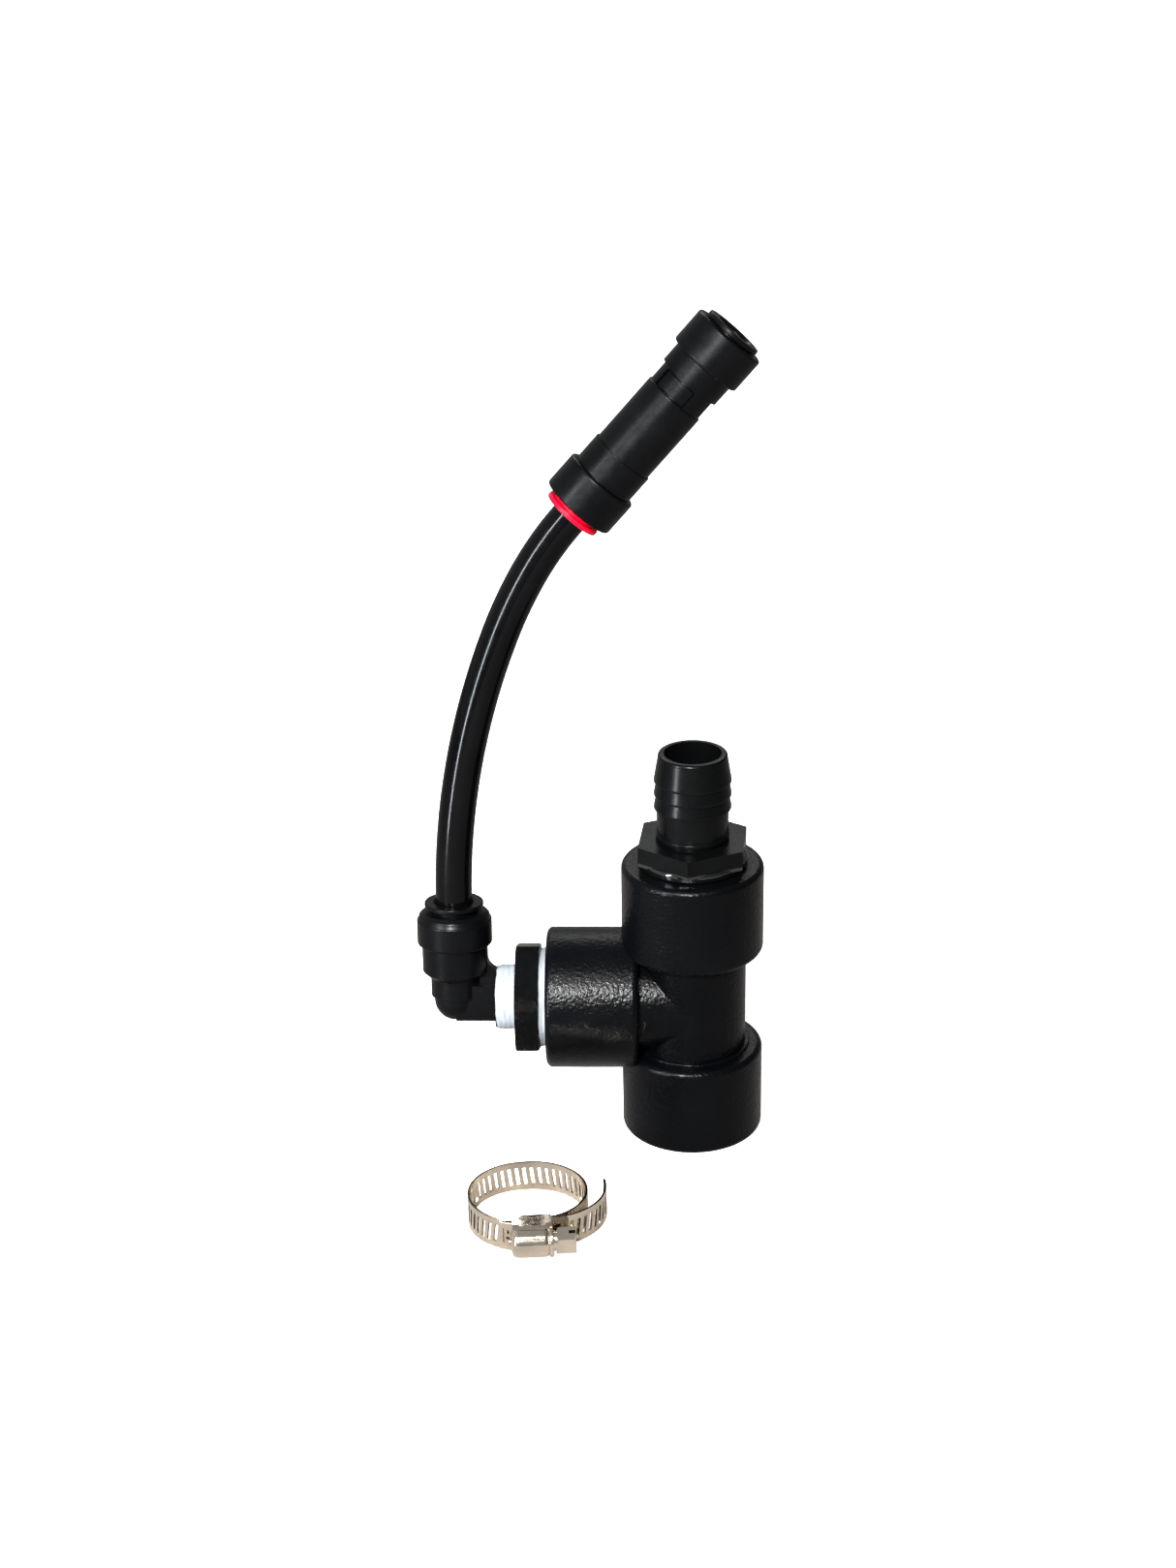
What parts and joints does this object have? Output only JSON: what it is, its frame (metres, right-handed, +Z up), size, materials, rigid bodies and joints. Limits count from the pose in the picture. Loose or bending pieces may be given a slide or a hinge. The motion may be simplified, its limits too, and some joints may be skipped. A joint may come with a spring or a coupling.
{
  "type": "water fill valve assembly",
  "caption": "Threaded tee with a barbed hose adapter, push-in elbow, bent tube and in-line check valve, plus a loose worm-drive hose clamp.",
  "frame": {"origin": "centre of the tee's bottom face, on the run axis", "axes": "+Z up along the tee's run towards the hose barb, the tee's branch points along -X, the hose clamp lies in front at -Y"},
  "size_m": [0.0905, 0.0996, 0.2164],
  "materials": {
    "pvc_black": "satin moulded PVC with a fine grain",
    "poly_black": "satin moulded polypropylene",
    "acetal_black": "satin moulded acetal",
    "acetal_red": "satin moulded acetal, red",
    "tube_gloss": "glossy extruded polyethylene",
    "ptfe_white": "wound PTFE thread tape",
    "seal_rubber": "moulded nitrile",
    "stainless": "rolled stainless steel"
  },
  "bodies": {
    "fitting": {"tee_body": "pvc_black", "tee_branch": "pvc_black", "hose_adapter": "poly_black", "reducing_bushing": "poly_black", "bushing_tape": "ptfe_white", "elbow_body": "acetal_black", "elbow_tape": "ptfe_white", "elbow_cap": "acetal_black", "elbow_oring": "seal_rubber", "elbow_spacer": "acetal_black"},
    "elbow_release": {"elbow_collet": "acetal_black", "elbow_grip": "stainless"},
    "tube": {"supply_tube": "tube_gloss"},
    "valve": {"inlet_body": "acetal_black", "inlet_cap": "acetal_black", "inlet_oring": "seal_rubber", "inlet_spacer": "acetal_black", "outlet_body": "acetal_black", "outlet_cap": "acetal_black", "outlet_oring": "seal_rubber", "outlet_spacer": "acetal_black", "joint_oring": "seal_rubber", "check_seat": "acetal_black", "check_cage": "acetal_black", "check_spring": "stainless"},
    "inlet_release": {"inlet_collet": "acetal_red", "inlet_grip": "stainless"},
    "outlet_release": {"outlet_collet": "acetal_black", "outlet_grip": "stainless"},
    "poppet": {"check_poppet": "acetal_black", "poppet_seal": "seal_rubber"},
    "clamp": {"clamp_band": "stainless", "clamp_housing": "stainless"},
    "worm": {"clamp_screw": "stainless"}
  },
  "joints": [
    {"name": "elbow_collet_press", "type": "slide", "parent": "fitting", "child": "elbow_release", "axis": [0, -0.1132, -0.9936], "range_m": [0, 0.001]},
    {"name": "tube_swivel", "type": "hinge", "parent": "fitting", "child": "tube", "pos_m": [-0.0622, 0.00303, 0.06393], "axis": [0, 0.1132, 0.9936], "continuous": true},
    {"name": "valve_swivel", "type": "hinge", "parent": "tube", "child": "valve", "pos_m": [-0.01952, 0.01602, 0.17791], "axis": [0.6626, 0.0848, 0.7441], "continuous": true},
    {"name": "inlet_collet_press", "type": "slide", "parent": "valve", "child": "inlet_release", "axis": [0.6626, 0.0848, 0.7441], "range_m": [0, 0.001]},
    {"name": "outlet_collet_pull", "type": "slide", "parent": "valve", "child": "outlet_release", "axis": [0.6626, 0.0848, 0.7441], "range_m": [0, 0.001]},
    {"name": "poppet_open", "type": "slide", "parent": "valve", "child": "poppet", "axis": [0.6626, 0.0848, 0.7441], "range_m": [0, 0.0025], "stiffness_N_per_m": 60, "springref_m": -0.004, "deforming": ["check_spring"]},
    {"name": "clamp_lift", "type": "slide", "parent": "fitting", "child": "clamp", "axis": [0, 0, 1], "range_m": [0, 0.06]},
    {"name": "clamp_screw_turn", "type": "hinge", "parent": "clamp", "child": "worm", "pos_m": [-0.03942, -0.06606, 0.00448], "axis": [0.9969, 0.0785, 0.0006], "range_deg": [-1080, 1080]}
  ]
}
